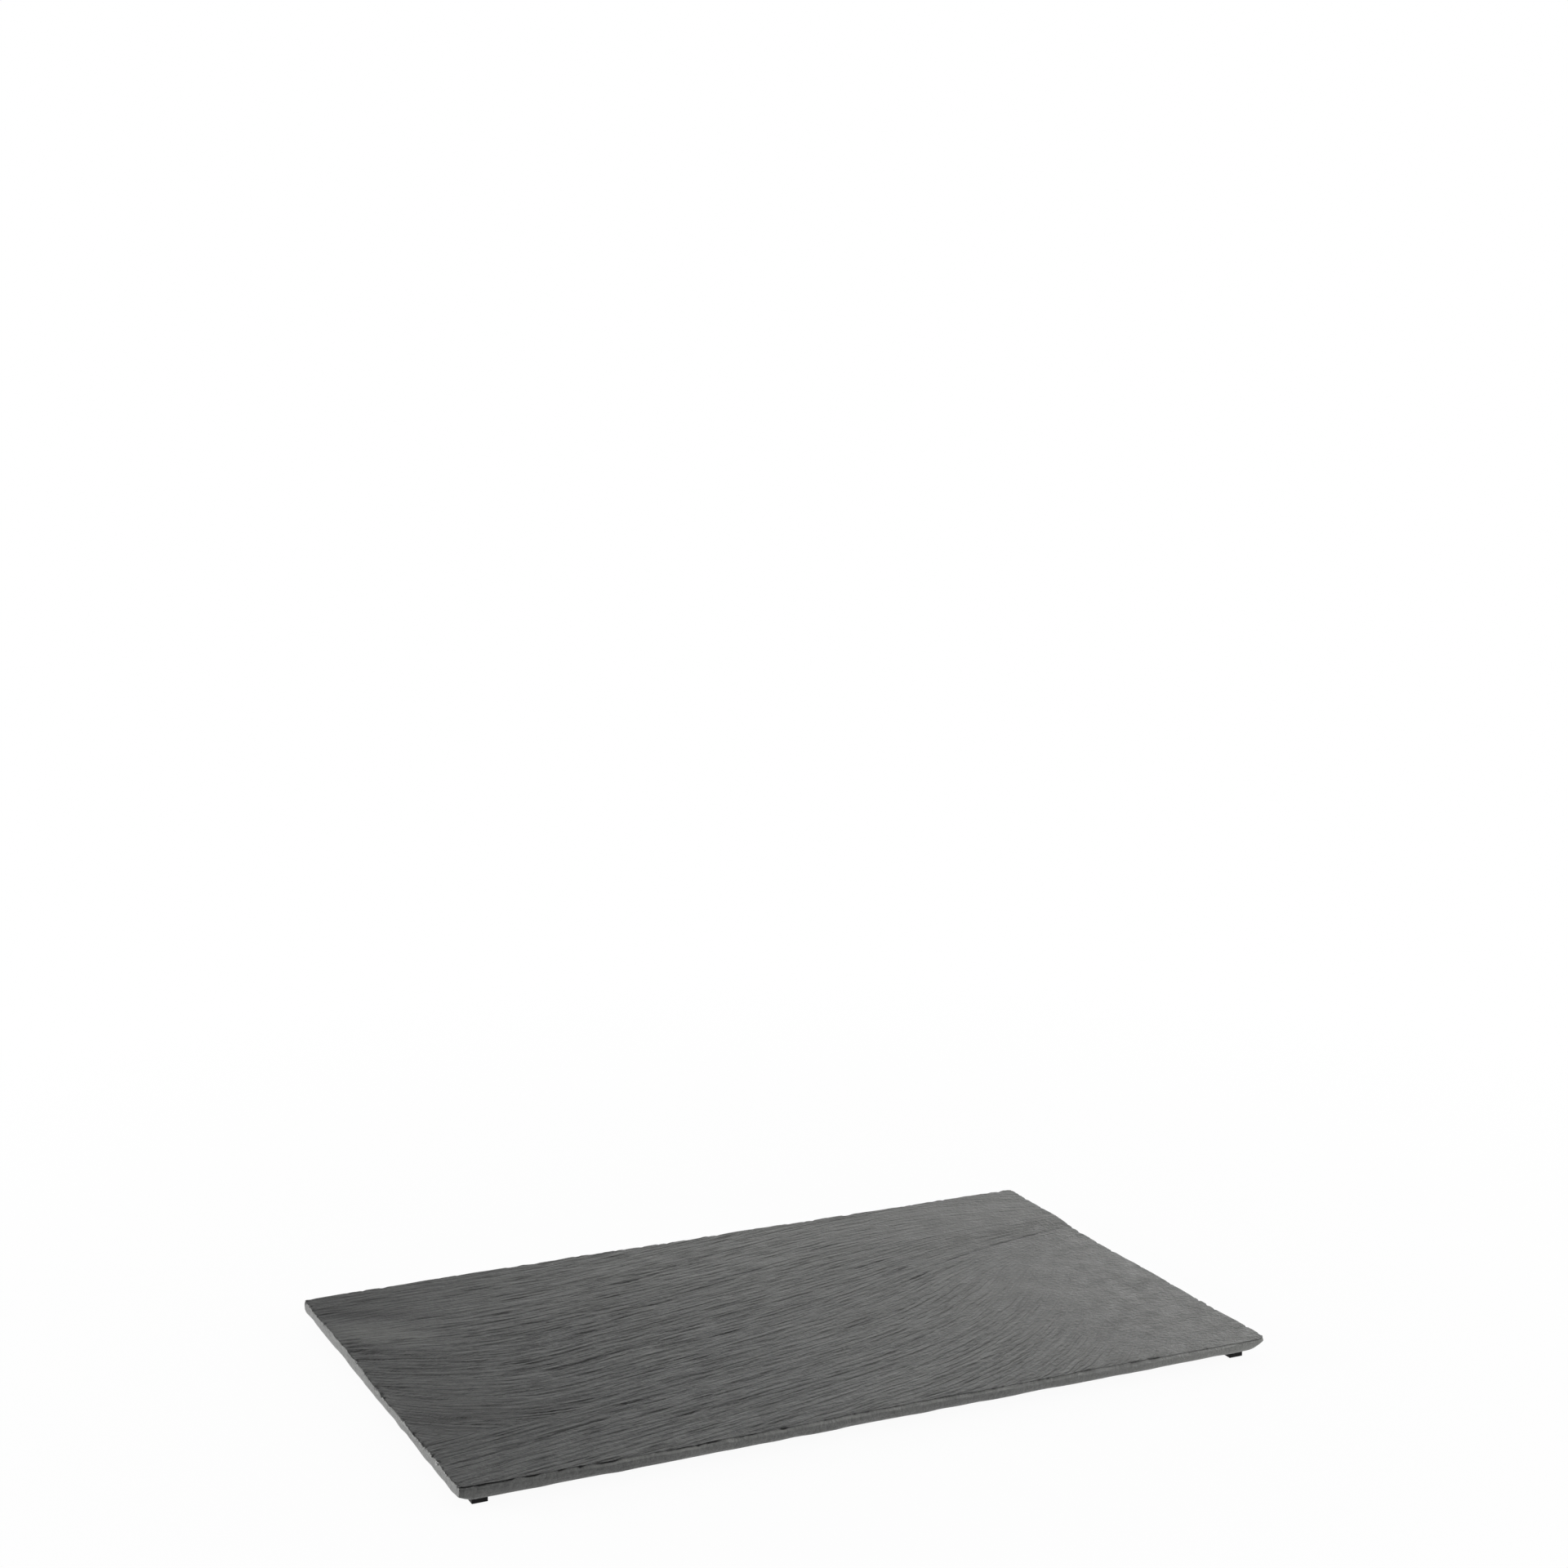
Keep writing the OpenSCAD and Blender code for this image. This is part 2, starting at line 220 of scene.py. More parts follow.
# Crevices that stand out: place in mm from the front left corner, length, depth, half width
namedCrevices = (
    (142, 150, 92, 0.90, 0.99),
    (117, 132, 33, 0.63, 0.75),
    (27, 38, 54, 0.54, 0.80),
    (58, 46, 50, 0.57, 0.80),
    (93, 55, 39, 0.68, 0.75),
    (137, 75, 36, 0.83, 0.75),
    (150, 43, 23, 0.90, 0.75),
    (185, 48, 56, 0.54, 0.80),
    (210, 77, 20, 0.83, 0.75),
    (173, 89, 36, 0.60, 0.75),
    (154, 192, 56, 0.48, 0.80),
    (123, 204, 31, 0.68, 0.75),
    (276, 246, 54, 0.68, 0.75),
    (353, 270, 31, 0.72, 0.75),
    (372, 206, 36, 0.72, 0.75),
    (384, 192, 23, 0.54, 0.75),
    (365, 227, 31, 0.51, 0.75),
    (465, 227, 130, 0.40, 0.85),
    (310, 131, 31, 0.54, 0.75),
    (323, 89, 41, 0.45, 0.75),
    (227, 153, 36, 0.60, 0.75),
    (207, 172, 31, 0.60, 0.75),
    (202, 265, 28, 0.60, 0.75),
    (61, 258, 33, 0.45, 0.75),
    (104, 244, 26, 0.54, 0.75),
    (7, 241, 18, 0.75, 0.80),
    (6, 234, 14, 0.90, 0.80),
    (10, 226, 20, 0.68, 0.80),
    (6, 220, 14, 0.90, 0.80),
    (13, 213, 18, 0.60, 0.80),
    (9, 203, 22, 1.00, 0.80),
    (41, 198, 52, 0.39, 0.75),
    (28, 96, 26, 0.60, 0.75),
    (80, 83, 56, 0.45, 0.80),
    (22, 104, 52, 0.48, 0.75),
)
# Low swells that the light picks out: place, half length along a heading in degrees, half width, and height,
# in mm
swells = (
    (8, 230, 36, 0, 20, 0.3),
    (16, 280, 40, 0, 11, -0.25),
    (440, 150, 90, -42, 16, 0.12),
    (485, 120, 90, -42, 24, -0.12),
    (536, 168, 75, 90, 16, -0.8),
    (8, 237, 7, 8, 1.8, 0.35),
    (9, 229, 8, 8, 2.2, 0.4),
    (9, 216, 9, 5, 2.4, 0.4),
    (11, 207, 10, 5, 2.0, 0.4),
)
# Paler and darker patches: painted sheen and shade where the face tilts towards or away from the lamps, and
# the stone's own tone: place, half length along a heading, half width, in mm, and how much paler it is
toneAndShadingPatches = (
    (26, 244, 36, -38, 17, 1.3),
    (30, 280, 30, -35, 7, -0.6),
    (25, 298, 70, 0, 22, -0.5),
    (52, 272, 30, -25, 12, -0.5),
    (34, 98, 70, -16, 24, -0.9),
    (10, 170, 220, 90, 70, -0.25),
    (447, 138, 65, -43, 6, 0.6),
    (478, 160, 45, -43, 5, 0.35),
    (462, 150, 60, -43, 5, -0.2),
    (508, 112, 70, -62, 12, -0.12),
    (95, 8, 45, 4, 8, 0.5),
    (275, 290, 180, 0, 66, 0.9),
    (328, 250, 30, 10, 14, 0.5),
    (175, 150, 36, 12, 20, 0.3),
)
# Where the relief is lively or calm: place and reach, as shares of the board's length and depth, and what
# that adds to a liveliness of 1
liveliness = (
    (0.28, 0.42, 0.22, 0.35, 0.30),
    (1.0, 0.26, 0.20, 0.42, -0.95),
    (0.10, 0.80, 0.10, 0.12, -0.30),
    (0.92, 0.88, 0.22, 0.25, -0.45),
    (0.50, 0.35, 0.14, 0.40, -0.15),
    (0.10, 0.34, 0.12, 0.12, -0.20),
)


def ease(t):
    t = np.clip(t, 0, 1)
    return t * t * (3 - 2 * t)


def bump(d):
    return np.exp(-d * d)


def noise(seed, u, v=0):  # smooth, between -1 and 1, one knot per unit
    count = 256
    knots = np.random.default_rng(seed).uniform(-1, 1, (count, count))
    i, j = np.floor(u).astype(int), np.floor(v).astype(int)
    s, t = ease(u - i), ease(v - j)
    i, j, right, up = i % count, j % count, (i + 1) % count, (j + 1) % count
    near = knots[j, i] + (knots[j, right] - knots[j, i]) * s
    far = knots[up, i] + (knots[up, right] - knots[up, i]) * s
    return near + (far - near) * t


def grainRise(x, y):  # how far a grain line has climbed, in mm, at a place from the front left corner
    u, v = x / size.x, y / size.y
    start, strength = grain["curl"]
    front = grain["slope"] * (u - start) + strength * np.maximum(u - start, 0) ** 4
    riseStart, riseLength, riseHeight, bendStart, bend = grain["rear"]
    rear = riseHeight * ease((u - riseStart) / riseLength) - bend * np.maximum(u - bendStart, 0) ** 2
    return size.x * (front + (rear - front) * ease((v - grain["turn"][0]) / grain["turn"][1]))


def grainDip(x, y):  # how much further it has climbed where it sags beside the left edge
    u, v = x / size.x, y / size.y
    reach, end, fade = grain["sagReach"]
    return grain["sag"] * np.maximum(1 - u / reach, 0) ** 2 * ease((end - v) / fade)


def behindFold(x, y):
    return y / size.y > grain["fold"][0] + grain["fold"][1] * x / size.x


def grainHeading(x, y):  # unit vector along the grain
    h = 0.5  # mm
    dip = behindFold(x, y)

    def across(px, py):
        return py - grainRise(px, py) - dip * grainDip(px, py)

    gx = (across(x + h, y) - across(x - h, y)) / (2 * h)
    gy = (across(x, y + h) - across(x, y - h)) / (2 * h)
    length = np.hypot(gx, gy)
    return gy / length, -gx / length


def traceGrain(x, y, reach):  # points of the grain lines through many places, as (distance, x, y)
    points = [(0, x, y)]
    for way in (-1, 1):
        px, py = x, y
        for k in range(1, int(reach / grain["step"]) + 1):
            dx, dy = grainHeading(px, py)
            px, py = px + way * dx * grain["step"], py + way * dy * grain["step"]
            points.append((way * k * grain["step"], px, py))
    return points


def combed(seed, pitch, run):  # noise drawn out along the grain, of about unit spread and without spikes
    total = 0
    for distance, px, py in grainLines:
        if abs(distance) < run:
            weight = math.cos(math.pi / 2 * distance / run) ** 2
            total = total + weight * noise(seed, px / (pitch / 2), py / (pitch / 2))
    even = (total - total.mean()) / total.std()
    return grain["crest"] * np.tanh(even / grain["crest"])


def crevice(x, y, place):  # depth of one named crevice at each place
    cx, cy, length, depth, width = place
    waver, sway = crevices["waver"]
    result = np.zeros_like(x)
    for distance, px, py in traceGrain(np.array(float(cx)), np.array(float(cy)), length / 2):
        py = py + sway * noise(seeds["namedCrevices"], px / waver, py / waver)
        near = bump(np.hypot((x - px) / crevices["join"], y - py) / width)
        taper = 1 - (2 * distance / length) ** crevices["blunt"]
        result = np.maximum(result, depth * taper * near)
    return result


def cadHeights(x, y):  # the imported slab's own face, read from above
    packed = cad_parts["slate_board"].data
    tree = BVHTree.FromPolygons([v.co for v in packed.vertices], [p.vertices for p in packed.polygons])
    margin = slab["formMargin"]
    px = (np.clip(x, margin, size.x - margin) - size.x / 2) * mm
    py = (np.clip(y, margin, size.y - margin) - size.y / 2) * mm
    above = Vector((0, 0, 1))
    found = [tree.ray_cast(Vector((a, b, 1)), -above)[0].z for a, b in zip(px.ravel(), py.ravel())]
    return np.array(found).reshape(x.shape) / mm


def readLattice(field, x, y):  # linear reading of a lattice field at other places
    rows, columns = field.shape  # a place stays just short of the last ones, so that there is always a next
    i = np.clip(x / size.x * (columns - 1), 0, columns - 1.001)
    j = np.clip(y / size.y * (rows - 1), 0, rows - 1.001)
    a, b = i.astype(int), j.astype(int)
    s, t = i - a, j - b
    near = field[b, a] * (1 - s) + field[b, a + 1] * s
    far = field[b + 1, a] * (1 - s) + field[b + 1, a + 1] * s
    return near * (1 - t) + far * t


def atCorners(x, y, values):  # the value that belongs to the nearest corner, of four
    frontLeft, frontRight, rearRight, rearLeft = values
    onRight, atRear = x > size.x / 2, y > size.y / 2
    return np.where(atRear, np.where(onRight, rearRight, rearLeft), np.where(onRight, frontRight, frontLeft))


def roundPlan(x, y, inset, radius):  # the sharp rectangle with round corners, its rim drawn in by an inset
    cx = np.clip(x, radius, size.x - radius)
    cy = np.clip(y, radius, size.y - radius)
    a, b = (x - cx) / radius, (y - cy) / radius

    def drawn(distance):
        return inset * np.maximum(1 - distance / slab["insetReach"], 0) ** 2

    px = cx + a * np.sqrt(1 - b * b / 2) * radius + drawn(x) - drawn(size.x - x)
    py = cy + b * np.sqrt(1 - a * a / 2) * radius + drawn(y) - drawn(size.y - y)
    return px, py


def walkRound(x, y):  # distance along the rim, from the front left corner, of the rim's nearest point
    edges = np.stack([y, size.x - x, size.y - y, x])
    walks = np.stack([x, size.x + y, 2 * size.x + size.y - x, wayRound - y])
    return np.take_along_axis(walks, edges.argmin(0)[None], 0)[0]


def slabSide(name, walked):  # a value that changes on the way round the rim
    return np.interp(walked / wayRound, *zip(*slab[name]))


def makeSlabMesh():  # a flat grid whose rim is drawn down loop by loop and closed
    bpy.ops.object.select_all(action="DESELECT")
    bpy.ops.mesh.primitive_grid_add(
        x_subdivisions=slab["cellsAlong"], y_subdivisions=slab["cellsAcross"], size=1)
    piece = bpy.context.object
    piece.name = piece.data.name = "slateSlab"
    piece.scale = (size.x * mm, size.y * mm, 1)
    bpy.ops.object.transform_apply(location=False, rotation=False, scale=True)
    bpy.ops.object.mode_set(mode="EDIT")
    bpy.ops.mesh.select_mode(type="EDGE")
    bpy.ops.mesh.select_all(action="DESELECT")
    bpy.ops.mesh.select_non_manifold()
    for _ in range(2 + len(slab["shoulder"]) + len(slab["turnAngles"])):  # 2 for the groove and the ledge
        bpy.ops.mesh.extrude_edges_move(TRANSFORM_OT_translate={"value": (0, 0, -mm)})
    bpy.ops.mesh.edge_face_add()
    bpy.ops.mesh.select_all(action="SELECT")
    bpy.ops.mesh.normals_make_consistent(inside=False)
    bpy.ops.object.mode_set(mode="OBJECT")
    return piece


def shapeSlab(piece):
    flat = np.zeros(len(piece.data.vertices) * 3)
    piece.data.vertices.foreach_get("co", flat)
    flat = flat.reshape(-1, 3) / mm
    x, y = flat[:, 0] + size.x / 2, flat[:, 1] + size.y / 2
    loop = np.rint(-flat[:, 2]).astype(int)  # 0 face, 1 groove, 2 ledge, then the shoulder and the band
    i = np.rint(x / size.x * slab["cellsAlong"]).astype(int)
    j = np.rint(y / size.y * slab["cellsAcross"]).astype(int)
    walked = walkRound(x, y)

    arrisZ = height[j, i]
    z = arrisZ
    face, overhang = slabSide("faceInset", walked), slabSide("ledge", walked)
    foot, turn = slabSide("bandFoot", walked), slabSide("turnInset", walked)
    inset = face + overhang + chips[j, i]
    radius = atCorners(x, y, slab["cornerRadii"])
    lowRadius = atCorners(x, y, slab["lowCornerRadii"])
    px, py = roundPlan(x, y, inset, radius)
    py = py - crevices["lean"] * fine[j, i] * ease(toRim[j, i] / crevices["leanReach"])

    # the groove, the ledge and the rows of the shoulder, one ring of points each
    underside = low.z / mm
    cut, drop = slab["groove"]
    lip, opening = slab["lip"]
    out, follow = slab["ledgeOut"]
    shoulderLength, bandLength = slab["roughLengths"]
    bare = np.clip(groove[j, i] + notch[j, i] / slab["ledgeBare"], 0, 1)
    rings = [
        (inset + cut * groove[j, i], drop),
        (inset - out - follow * notch[j, i], lip + opening * bare),
    ]
    for k, (share, lipDrop) in enumerate(slab["shoulder"]):
        rough = slab["rough"] * (1 + noise(seeds["shoulder"], walked / shoulderLength, k))
        nicked = slab["shoulderNotch"] * notch[j, i] / (k + 1)
        rings.append((face + overhang * share + rough + nicked, lipDrop))
    for k, (ringInset, ringDrop) in enumerate(rings, start=1):
        here = loop == k
        qx, qy = roundPlan(x, y, ringInset, radius)
        px, py = np.where(here, qx, px), np.where(here, qy, py)
        z = np.where(here, np.maximum(arrisZ - ringDrop, underside + foot + slab["leastFace"]), z)

    # the rows of the band that turns under
    wave, swing = slab["bandWave"]
    for k, angle in enumerate(slab["turnAngles"], start=len(rings) + 1):
        here = loop == k
        turned = math.radians(angle)
        rough = slab["rough"] * (1 + noise(seeds["band"], walked / bandLength, k / slab["roughRows"]))
        sway = swing * (1 + noise(seeds["bandWave"], walked / wave))
        uneven = rough * math.cos(turned) + sway * math.sin(turned)
        corner = radius + (lowRadius - radius) * math.sin(turned)
        qx, qy = roundPlan(x, y, face + turn * (1 - math.cos(turned)) + uneven, corner)
        px, py = np.where(here, qx, px), np.where(here, qy, py)
        z = np.where(here, underside + foot * (1 - math.sin(turned)), z)

    placed = np.stack([px - size.x / 2, py - size.y / 2, z], 1) * mm
    piece.data.vertices.foreach_set("co", placed.ravel())
    piece.data.update()

    # the shoulder painted paler in spans: wear, and a painted highlight where it catches the light
    spanLength, usual, varied = slab["wearAndHighlightSpans"]
    shoulderWearAndHighlight = slabSide("shoulderWearAndHighlight", walked) * (usual + varied * noise(seeds["wearAndHighlightSpans"], walked / spanLength))
    shoulderWearAndHighlight = shoulderWearAndHighlight * ((loop > 2) & (loop < len(rings)))
    # painted light and shade on the edge: paler at the front right corner, darker at the front left
    edgeLightAndShade = slabSide("edgeLightAndShade", walked)
    # painted shade in the groove under the arris, and less of it on the bare ledge below
    shaded = bare * np.where(loop == 1, 1, slab["ledgeShade"] * (loop == 2))
    marks = {
        "paintedHollowShade": np.where(loop == 0, paintedHollowShade[j, i], shaded),
        "toneAndShading": np.where(loop == 0, toneAndShading[j, i], np.minimum(edgeLightAndShade, 0)),
        "wearAndLight": np.maximum(shoulderWearAndHighlight, edgeLightAndShade * (loop > 2)),
        "lively": np.where(loop == 0, lively[j, i], slab["edgeLively"]),
        "edge": np.where(loop > 1, 1.0, 0.0),
    }
    for name, values in marks.items():
        piece.data.attributes.new(name, "FLOAT", "POINT").data.foreach_set("value", values)
    layGrainMap(piece.data, x, y, z, loop, walked)


def layGrainMap(mesh, x, y, z, loop, walked):  # UVs in mm, by the grain or, on the edge, round and up it
    corner = np.zeros(len(mesh.loops), int)
    mesh.loops.foreach_get("vertex_index", corner)
    sizes = np.zeros(len(mesh.polygons), int)
    mesh.polygons.foreach_get("loop_total", sizes)
    face = np.repeat(np.arange(len(sizes)), sizes)
    centreX = (np.bincount(face, x[corner]) / sizes)[face]
    centreY = (np.bincount(face, y[corner]) / sizes)[face]
    onEdge = (np.bincount(face, loop[corner]) / sizes)[face] > 0.6  # beyond the row that joins it to the face
    cx, cy = x[corner], y[corner]
    across = cy - grainRise(cx, cy) - behindFold(centreX, centreY) * grainDip(cx, cy)
    u = np.where(onEdge, walked[corner], cx)
    v = np.where(onEdge, z[corner] * slab["edgeSqueeze"], across)
    layer = mesh.uv_layers.new(name="grainMap")
    layer.uv.foreach_set("vector", np.stack([u, v], 1).ravel())


def spot(cx, cy, reach, heading, breadth):  # a soft oval on the lattice, 1 in its middle
    turned = math.radians(heading)
    dx, dy = gridX - cx, gridY - cy
    lengthwise = (dx * math.cos(turned) + dy * math.sin(turned)) / reach
    return bump(lengthwise) * bump((dy * math.cos(turned) - dx * math.sin(turned)) / breadth)


addCamera()
gridX, gridY = np.meshgrid(
    np.linspace(0, size.x, slab["cellsAlong"] + 1), np.linspace(0, size.y, slab["cellsAcross"] + 1))
toRim = np.minimum(np.minimum(gridX, size.x - gridX), np.minimum(gridY, size.y - gridY))
grainLines = traceGrain(gridX, gridY, grain["longest"])
print("grain traced")

lively = 1 + sum(
    add * bump(np.hypot((gridX / size.x - a) / ra, (gridY / size.y - b) / rb))
    for a, b, ra, rb, add in liveliness)
cadFace = cadHeights(gridX, gridY)
form = 0
weights = 0
for distance, px, py in grainLines:
    if abs(distance) <= slab["formReach"]:
        for shift in slab["formShifts"]:
            form = form + readLattice(cadFace, px, py + shift)
            weights += 1
form = form / weights
for cx, cy, reach, heading, breadth, tall in swells:
    form = form + tall * spot(cx, cy, reach, heading, breadth)
# paler and darker patches, painted as sheen and shade where the face tilts, and as the stone's tone
toneAndShading = 0
for cx, cy, reach, heading, breadth, paler in toneAndShadingPatches:
    toneAndShading = toneAndShading + paler * spot(cx, cy, reach, heading, breadth)
fine = lively * sum(
    tall * combed(seeds["ripples"] + k, pitch, run) for k, (pitch, run, tall) in enumerate(ripples))
opened = combed(seeds["crevices"], crevices["pitch"], crevices["run"])
opened = np.clip(opened - crevices["start"], 0, crevices["most"]) * crevices["depth"] * lively ** 2
for place in namedCrevices:
    opened = np.maximum(opened, crevice(gridX, gridY, place))

# The arris: notches where flakes have come away, and a broken groove under the last cleavage layer
rimWalk = walkRound(gridX, gridY)
rearLeft = 2 * size.x + size.y  # beyond this corner runs the left edge, which is notched deepest
notchLength, notchDepth, notchNoise = slab["notch"]
closer, smaller, smallNoise = slab["smallNotch"]
notch = np.clip(noise(seeds["notches"], rimWalk / notchLength) - notchNoise, 0, 1)
small = noise(seeds["smallNotches"], rimWalk / notchLength * closer, 0.5)
notch = notch + smaller * np.clip(small - smallNoise, 0, 1)
atFront, atRest, atLeft = slab["notchShares"]
notch = notchDepth * notch * np.where(rimWalk > rearLeft, atLeft, np.where(rimWalk < size.x, atFront, atRest))
wanderLength, wanderDepth = slab["wander"]
chips = wanderDepth * noise(seeds["wander"], rimWalk / wanderLength) + notch
chips = chips * ease(np.minimum(rimWalk, wayRound - rimWalk) / slab["wholeCorner"])
openness, lost, fast = slab["grooveFront"]
fade = np.where(rimWalk < size.x, openness - lost * ease(fast * gridX / size.x), slab["grooveRest"])
broken = sum(
    strength * noise(seeds["groove"] + k, rimWalk / length)
    for k, (length, strength) in enumerate(slab["grooveBreaks"]))
groove = fade * np.clip(slab["grooveMean"] + broken + bump(rimWalk / slab["grooveStart"]), 0, 1)
fallen = notch * bump(toRim / slab["notchReach"])

height = form + fine - opened - slab["notchDrop"] * fallen
# painted shade: the deeper a crevice or notch, the darker it is painted
paintedHollowShade = np.clip(np.maximum(opened / crevices["dark"], fallen / slab["notchShadeDepth"]), 0, 1)
print("riven face shaped, %.2f to %.2f mm" % (height.min(), height.max()))

slateSlab = makeSlabMesh()
shapeSlab(slateSlab)
bpy.ops.object.shade_smooth_by_angle(angle=math.radians(slab["smoothBelow"]))
max(slateSlab.data.polygons, key=lambda polygon: polygon.loop_total).use_smooth = False  # the flat underside
print("slab modelled:", len(slateSlab.data.polygons), "faces")


# Grey slate, split along its cleavage and left unsealed: matt, with a faint silk of mica that brightens
# it at a glancing angle, and painted darker down in the crevices, grooves and notches, as the shade that
# falls there.
# Its grit and fibres are finer than the render can show, so they are drawn as coarse as they need to show.
slate = {
    "dark": "#414242",
    "pale": "#555654",
    "far": "#60615c",  # paler and a little greener towards the right: the stone's tone, and partly a painted sheen
    # the paler colour of those patches: painted sheen, and the stone's tone
    "toneAndShading": "#6a6b68",
    "edge": "#696a68",  # where it was ground, and powdery
    "wearAndHighlight": "#7c7d7a",  # where the edge has been knocked, and a painted highlight on the shoulder and at the front right corner
    # painted shade, for the crevices, grooves, notches, splits, step lines and darker patches
    "crevice": "#161616",
    "steps": (5.4, 1.5),  # mm from one cleavage step to the next, and how many steps a line wanders
    "tread": 0.78,  # share of a step before it rises
    "bends": (28, 16),  # from here on, the reach along and across the grain in mm
    "layers": (36, 1.6),
    "fibres": (16, 0.8),
    "splits": (26, 2.2),
    "gates": (22, 6),
    "latticeTurn": 0.5,  # radians by which the lattices of these noises are turned, so that they don't show
    "wobble": (9, 0.45),  # the length over which a line wavers, and how far
    "mottle": 13,  # mm, where the stone is calm
    "patch": 45,  # mm
    "grit": 3,  # mm
    # from which level of its noise a pattern sets in, up to where it is whole
    "stepGate": (0.3, 0.55),
    "splitGate": (0.48, 0.6),
    "splitWidth": 0.04,  # on the scale of its noise
    "mottleLevels": (0.3, 0.7, 0.35, 0.65),  # levels of its noise, and what they are pressed into
    "toneLevels": (0.4, 0.6),  # of the mixed patterns, that are as dark and as pale as the stone gets
    "livelyLevels": (0.3, 1),  # of the liveliness, from calm stone to lively
    "paintedShadeLevels": (0.1, 0.7),  # of a hollow's depth, from no painted shade to full
    # what the lines, the tone and the height are mixed from, by weight
    "lineMix": {"layers": 0.6, "fibres": 0.4},
    "toneMix": {"lines": 0.4, "patch": 0.1, "grit": 0.5},
    "heightMix": {"steps": 1.0, "layers": 0.6, "fibres": 0.35, "splits": -0.5},
    "gritHeight": (1.4, 0.9),  # where the stone is calm, and where it is lively
    "farReach": (0.0, 0.4),  # metres to the right, from where the far colour comes in, up to where it is most
    "farShare": (0.45, 0.25),  # how much of it, and how many metres the patches shift it
    "toneAndShadingShare": 0.5,
    "groundShare": 0.3,  # of the ground colour where the stone is darkest
    "fullWearAndLight": 1.2,  # how pale a point is, from wear and painted light, where only this colour shows
    "splitShade": 0.2,  # how dark the painted shade in a split is
    "stepShade": 0.55,  # how dark the painted shade along the top of a step is
    "relief": 0.75,  # mm
    "lineLevels": (0.35, 0.65),  # of the lines, between which the face goes from rougher to smoother
    "faceRoughness": (0.62, 0.5),
    "edgeRoughness": 0.36,
    "ior": 1.55,
}


def addNoise(tree, place, grainSize, detail, roughness=0.5):  # grain size in mm
    return addNode(tree, "TexNoise", {
        "Vector": place, "Scale": 1 / (grainSize * mm), "Detail": detail, "Roughness": roughness})


